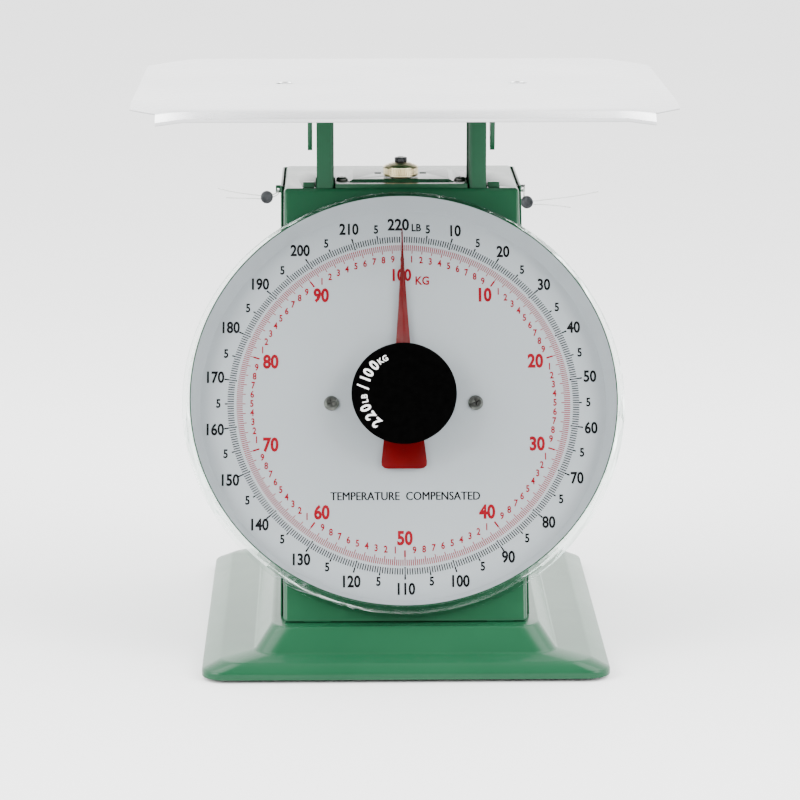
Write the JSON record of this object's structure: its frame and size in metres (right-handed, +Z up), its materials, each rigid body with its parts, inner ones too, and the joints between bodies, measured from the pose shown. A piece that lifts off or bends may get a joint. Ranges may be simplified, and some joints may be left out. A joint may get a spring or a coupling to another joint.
{
  "type": "mechanical dial platform scale",
  "caption": "Spring scale with a flat platform on two posts over a sheet housing, a large leaning round dial with pointer behind a domed lens, zero knob and stepped base.",
  "frame": {"origin": "on the floor under the middle of the overall box", "axes": "+Z up, -Y towards the reader of the dial, +X to the reader's right"},
  "size_m": [0.318, 0.306, 0.331],
  "materials": {
    "green_enamel": "smooth gloss green enamel",
    "tray_steel": "satin stainless sheet",
    "dial_enamel": "matt pale grey with printed scales",
    "clear_plastic": "clear moulded plastic",
    "black_label": "black label film",
    "rubber": "moulded black rubber",
    "zinc_steel": "zinc plated steel",
    "spring_steel": "drawn steel",
    "blackened_steel": "blackened steel",
    "brass": "turned brass",
    "pointer_red": "dark red paint",
    "lead": "dull lead",
    "nylon": "clear nylon thread"
  },
  "bodies": {
    "housing": {"base_pan": "green_enamel", "rubber_feet": "rubber", "body_shell": "green_enamel", "rear_cover": "green_enamel", "spring_bridge": "green_enamel", "bridge_screws": "zinc_steel", "cover_screws": "zinc_steel", "base_screws": "zinc_steel", "overload_stops": "green_enamel", "dial_plate": "dial_enamel", "dial_screws": "zinc_steel", "lens": "clear_plastic", "lens_gasket": "rubber", "lens_label": "black_label", "movement_front_plate": "brass", "movement_back_plate": "brass", "movement_pillars": "brass", "movement_studs": "zinc_steel", "movement_screws": "zinc_steel", "arbor_bushes": "brass", "rack_guide": "zinc_steel", "link_bracket": "green_enamel", "upper_housing_shaft": "spring_steel", "lower_housing_shaft": "spring_steel", "housing_clips": "blackened_steel", "seal_screw_left": "green_enamel", "seal_screw_right": "zinc_steel", "lead_seal_left": "lead", "lead_seal_right": "lead", "seal_wire_left_long": "nylon", "seal_wire_left_short": "nylon", "seal_wire_right_long": "nylon", "seal_wire_right_short": "nylon"},
    "knob": {"zero_stem": "zinc_steel", "zero_knob": "brass", "zero_lock_nut": "blackened_steel"},
    "yoke": {"spring_yoke": "zinc_steel", "yoke_pins": "spring_steel", "spring_left": "spring_steel", "spring_right": "spring_steel"},
    "platform": {"platform_tray": "tray_steel", "tray_studs": "zinc_steel", "support_plate": "green_enamel", "post_left": "green_enamel", "post_right": "green_enamel", "crossbar": "zinc_steel", "crossbar_screws": "zinc_steel", "crossbar_pins": "spring_steel", "upper_frame_shaft": "spring_steel", "lower_frame_shaft": "spring_steel", "frame_clips": "blackened_steel", "drive_arm": "zinc_steel", "drive_pin": "spring_steel"},
    "rack": {"rack": "brass", "rack_foot": "zinc_steel", "rack_rivets": "spring_steel"},
    "pointer": {"arbor": "spring_steel", "pointer": "pointer_red"},
    "upper_link": {"upper_link": "zinc_steel"},
    "lower_link": {"lower_link": "zinc_steel"}
  },
  "joints": [
    {"name": "platform_slide", "type": "slide", "parent": "housing", "child": "platform", "axis": [0, 0, -1], "range_m": [0, 0.01775], "stiffness_N_per_m": 55300, "springref_m": -0.00035, "deforming": ["spring_left", "spring_right"]},
    {"name": "rack_slide", "type": "slide", "parent": "housing", "child": "rack", "axis": [0, -0.4695, -0.8829], "range_m": [0, 0.0202]},
    {"name": "pointer_turn", "type": "hinge", "parent": "housing", "child": "pointer", "pos_m": [0, -0.05832, 0.14594], "axis": [0, 0.8829, -0.4695], "range_deg": [0, 360]},
    {"name": "upper_link_hinge", "type": "hinge", "parent": "housing", "child": "upper_link", "pos_m": [0, 0.09446, 0.2049], "axis": [1, 0, 0], "range_deg": [0, 13.5]},
    {"name": "lower_link_hinge", "type": "hinge", "parent": "housing", "child": "lower_link", "pos_m": [0, 0.09446, 0.064], "axis": [1, 0, 0], "range_deg": [0, 13.5]},
    {"name": "zero_knob_turn", "type": "hinge", "parent": "housing", "child": "knob", "pos_m": [0, 0.02996, 0.27], "axis": [0, 0, 1], "range_deg": [-721, 721]},
    {"name": "yoke_lift", "type": "slide", "parent": "housing", "child": "yoke", "axis": [0, 0, 1], "range_m": [-0.0025, 0.0025]}
  ],
  "couplings": [
    {"joint": "rack_slide", "follows": "platform_slide", "ratio": 1.1326},
    {"joint": "pointer_turn", "follows": "platform_slide", "rad_per_m": 353.93},
    {"joint": "upper_link_hinge", "follows": "platform_slide", "rad_per_m": 13.158},
    {"joint": "lower_link_hinge", "follows": "platform_slide", "rad_per_m": 13.158},
    {"joint": "zero_knob_turn", "follows": "yoke_lift", "rad_per_m": 5026.5}
  ]
}
